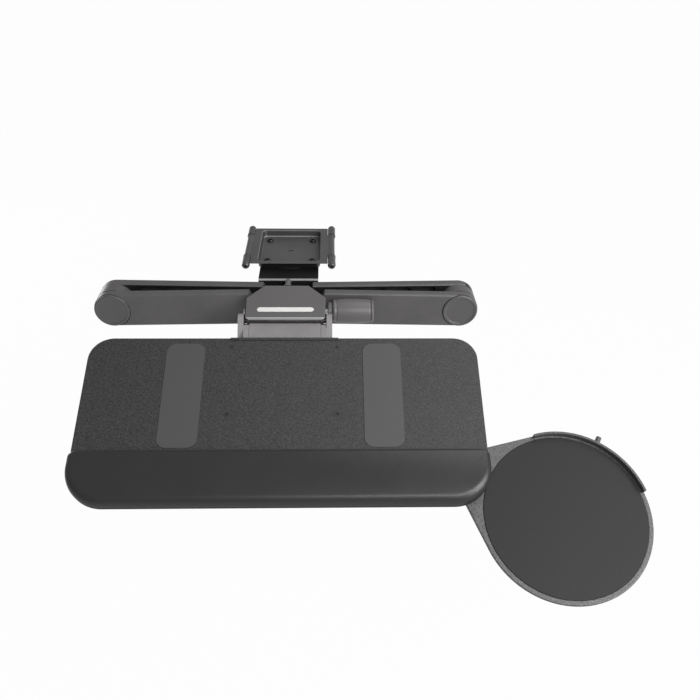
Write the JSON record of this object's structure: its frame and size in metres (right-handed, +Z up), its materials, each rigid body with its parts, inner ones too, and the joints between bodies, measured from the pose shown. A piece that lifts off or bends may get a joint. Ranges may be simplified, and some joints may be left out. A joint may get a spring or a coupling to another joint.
{
  "type": "keyboard tray",
  "caption": "Under-desk keyboard tray with a gear-linked lift arm, tilting board, padded palm rest and a round swivelling mouse platform.",
  "frame": {"origin": "centre of the carriage plate's top face, on the swivel axis", "axes": "+X to the user's right, +Y away from the user under the desk, +Z up"},
  "size_m": [0.7641, 0.6061, 0.2204],
  "materials": {
    "carriage_steel": "satin powder coat",
    "glide_nylon": "satin",
    "bush_nylon": "satin",
    "black_steel": "satin powder coat",
    "zinc_steel": "zinc plated",
    "link_grey": "satin powder coat",
    "drum_grey": "satin",
    "spring_steel": "oiled",
    "cap_grey": "satin",
    "hood_grey": "satin",
    "white_bar": "matte",
    "knob_grey": "satin",
    "bracket_grey": "satin powder coat",
    "board_dark": "fine speckled texture",
    "palm_foam": "soft matte skin",
    "pad_rubber": "matte",
    "mouse_plastic": "fine speckled texture",
    "mouse_pad_cloth": "smooth"
  },
  "bodies": {
    "carriage": {"carriage_plate": "carriage_steel", "glides_left": "glide_nylon", "glides_right": "glide_nylon", "swivel_bush": "zinc_steel", "swivel_washer_upper": "bush_nylon", "swivel_washer_lower": "bush_nylon", "swivel_retainer": "zinc_steel", "carriage_bolts": "zinc_steel", "carriage_nuts": "zinc_steel"},
    "arm_bracket": {"rear_bracket": "black_steel", "rear_pivot_plate": "black_steel", "rear_pivot_pins": "zinc_steel", "rear_tie_bolts": "zinc_steel"},
    "rear_left": {"rear_link_left": "link_grey", "rear_bush_left": "bush_nylon", "spring_drum_left": "drum_grey", "counter_spring_left": "spring_steel", "elbow_axle_left": "zinc_steel", "elbow_nut_left": "zinc_steel"},
    "rear_right": {"rear_link_right": "link_grey", "rear_bush_right": "bush_nylon", "spring_drum_right": "drum_grey", "counter_spring_right": "spring_steel", "elbow_axle_right": "zinc_steel", "elbow_nut_right": "zinc_steel"},
    "front_left": {"front_link_left": "link_grey", "front_bush_left": "bush_nylon", "elbow_bush_left": "bush_nylon", "elbow_cap_left": "cap_grey"},
    "front_right": {"front_link_right": "link_grey", "front_bush_right": "bush_nylon", "elbow_bush_right": "bush_nylon", "elbow_cap_right": "cap_grey"},
    "head": {"head_frame": "black_steel", "head_rear_plate": "black_steel", "front_pivot_pins": "zinc_steel", "front_tie_bolt": "zinc_steel", "hood": "hood_grey", "gauge_bar": "white_bar", "hinge_rod": "zinc_steel", "shaft_bushes": "bush_nylon"},
    "tilt_knob": {"knob_shaft": "zinc_steel", "knob_collar": "knob_grey", "tilt_knob": "knob_grey", "shaft_clip": "zinc_steel"},
    "tilt_nut": {"tilt_nut": "zinc_steel"},
    "tray": {"tray_bracket": "bracket_grey", "bracket_cover": "bracket_grey", "tilt_cam": "zinc_steel", "tray_board": "board_dark", "tray_screws": "zinc_steel", "palm_rest": "palm_foam", "grip_pad_left": "pad_rubber", "grip_pad_right": "pad_rubber", "mouse_mount": "mouse_plastic"},
    "mouse_platform": {"mouse_base": "mouse_plastic", "mouse_pad": "mouse_pad_cloth", "mouse_fence": "mouse_plastic", "mouse_bolt": "zinc_steel"}
  },
  "joints": [
    {"name": "arm_swivel", "type": "hinge", "parent": "carriage", "child": "arm_bracket", "pos_m": [0, 0, 0], "axis": [0, 0, 1], "range_deg": [-15, 15]},
    {"name": "lift", "type": "hinge", "parent": "arm_bracket", "child": "rear_left", "pos_m": [-0.0275, -0.1, -0.044], "axis": [0, 1, 0], "range_deg": [-12, 17.9]},
    {"name": "rear_right_pivot", "type": "hinge", "parent": "arm_bracket", "child": "rear_right", "pos_m": [0.0275, -0.1, -0.044], "axis": [0, 1, 0], "range_deg": [-17.9, 12]},
    {"name": "left_elbow", "type": "hinge", "parent": "rear_left", "child": "front_left", "pos_m": [-0.26097, -0.12, -0.04033], "axis": [0, 1, 0], "range_deg": [-35.8, 24]},
    {"name": "right_elbow", "type": "hinge", "parent": "rear_right", "child": "front_right", "pos_m": [0.26097, -0.12, -0.04033], "axis": [0, 1, 0], "range_deg": [-24, 35.8]},
    {"name": "head_pivot", "type": "hinge", "parent": "front_left", "child": "head", "pos_m": [-0.0275, -0.13, -0.03666], "axis": [0, 1, 0], "range_deg": [-12, 17.9]},
    {"name": "tilt", "type": "hinge", "parent": "head", "child": "tray", "pos_m": [0, -0.1855, -0.0292], "axis": [1, 0, 0], "range_deg": [-30, 2]},
    {"name": "nut_slide", "type": "slide", "parent": "head", "child": "tilt_nut", "axis": [1, 0, 0], "range_m": [-0.0198, 0.00132]},
    {"name": "knob_turn", "type": "hinge", "parent": "head", "child": "tilt_knob", "pos_m": [0.0615, -0.1606, -0.0282], "axis": [1, 0, 0], "range_deg": [-1782.5, 119.5]},
    {"name": "mouse_swivel", "type": "hinge", "parent": "tray", "child": "mouse_platform", "pos_m": [0.2425, -0.38213, -0.13528], "axis": [0, -0.4462, 0.8949], "range_deg": [-70, 40]}
  ],
  "couplings": [
    {"joint": "rear_right_pivot", "follows": "lift", "ratio": -1},
    {"joint": "left_elbow", "follows": "lift", "ratio": -2},
    {"joint": "right_elbow", "follows": "lift", "ratio": 2},
    {"joint": "head_pivot", "follows": "lift", "ratio": 1},
    {"joint": "nut_slide", "follows": "tilt", "m_per_rad": 0.037815},
    {"joint": "knob_turn", "follows": "tilt", "ratio": 59.4}
  ]
}
